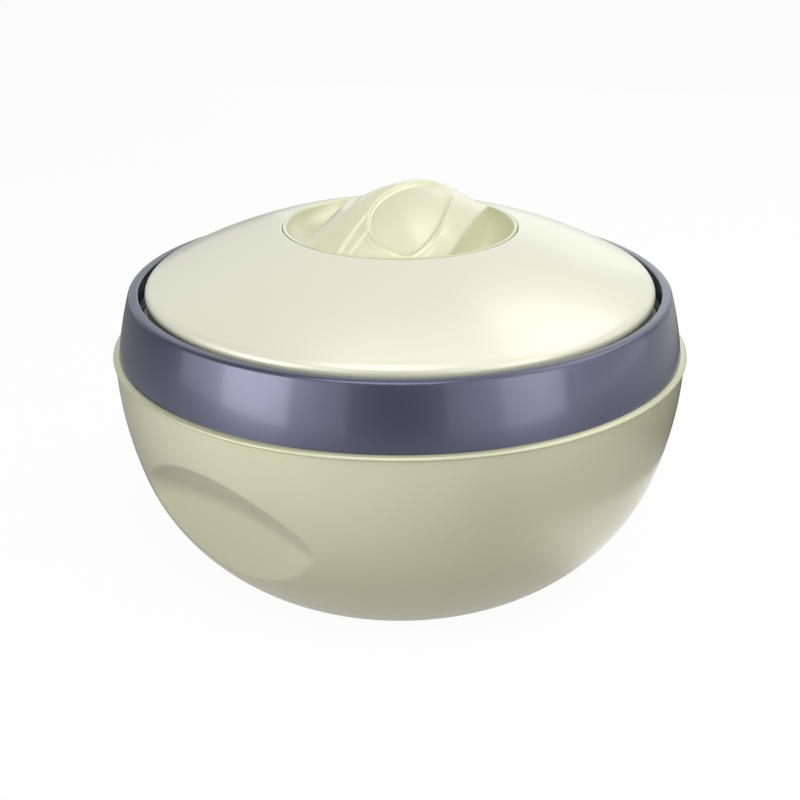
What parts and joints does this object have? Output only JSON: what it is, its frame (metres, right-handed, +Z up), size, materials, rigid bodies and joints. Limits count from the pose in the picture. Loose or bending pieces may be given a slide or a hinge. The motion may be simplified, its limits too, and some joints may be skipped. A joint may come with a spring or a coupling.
{
  "type": "thermal serving bowl",
  "caption": "Insulated round serving bowl with a slate collar, scooped hand-holds and a lift-off domed lid locked by a swirled turning grip.",
  "frame": {"origin": "centre of the foot ring, on the table", "axes": "+Z up along the bowl's axis, X along the line through the two hand-holds"},
  "size_m": [0.2702, 0.2702, 0.1823],
  "materials": {
    "outer_shell": "glossy moulded plastic, pale sage green",
    "collar": "glossy moulded plastic, slate blue",
    "liner": "satin moulded plastic, off-white",
    "foam": "rigid foam, pale yellow",
    "foot": "matt rubber",
    "plug": "matt plastic, pale green",
    "lid": "glossy moulded plastic, ivory",
    "gasket": "soft silicone, translucent grey",
    "grip": "glossy moulded plastic, pale lime ivory",
    "inner_plastic": "matt plastic, natural white",
    "steel": "zinc-plated steel"
  },
  "bodies": {
    "bowl": {"outer_bowl": "outer_shell", "collar_ring": "collar", "inner_bowl": "liner", "bowl_insulation": "foam", "foot_ring": "foot", "fill_plug": "plug"},
    "lid": {"lid_dome": "lid", "lid_liner": "liner", "lid_insulation": "foam", "lid_gasket": "gasket", "bolt_carrier": "inner_plastic", "carrier_screws": "steel"},
    "grip": {"turn_grip": "grip", "grip_seal": "foot", "cam_disc": "inner_plastic", "cam_washer": "steel", "cam_screw": "steel"},
    "bolt_right": {"lock_bolt_right": "inner_plastic"},
    "bolt_left": {"lock_bolt_left": "inner_plastic"}
  },
  "joints": [
    {"name": "lid_lift", "type": "slide", "parent": "bowl", "child": "lid", "axis": [0, 0, 1], "range_m": [0, 0.12]},
    {"name": "grip_turn", "type": "hinge", "parent": "lid", "child": "grip", "pos_m": [0, 0, 0.145], "axis": [0, 0, -1], "range_deg": [0, 60]},
    {"name": "bolt_right_slide", "type": "slide", "parent": "lid", "child": "bolt_right", "axis": [1, 0, 0], "range_m": [0, 0.006]},
    {"name": "bolt_left_slide", "type": "slide", "parent": "lid", "child": "bolt_left", "axis": [-1, 0, 0], "range_m": [0, 0.006]}
  ],
  "couplings": [
    {"joint": "bolt_right_slide", "follows": "grip_turn", "m_per_rad": 0.0057296},
    {"joint": "bolt_left_slide", "follows": "grip_turn", "m_per_rad": 0.0057296}
  ]
}
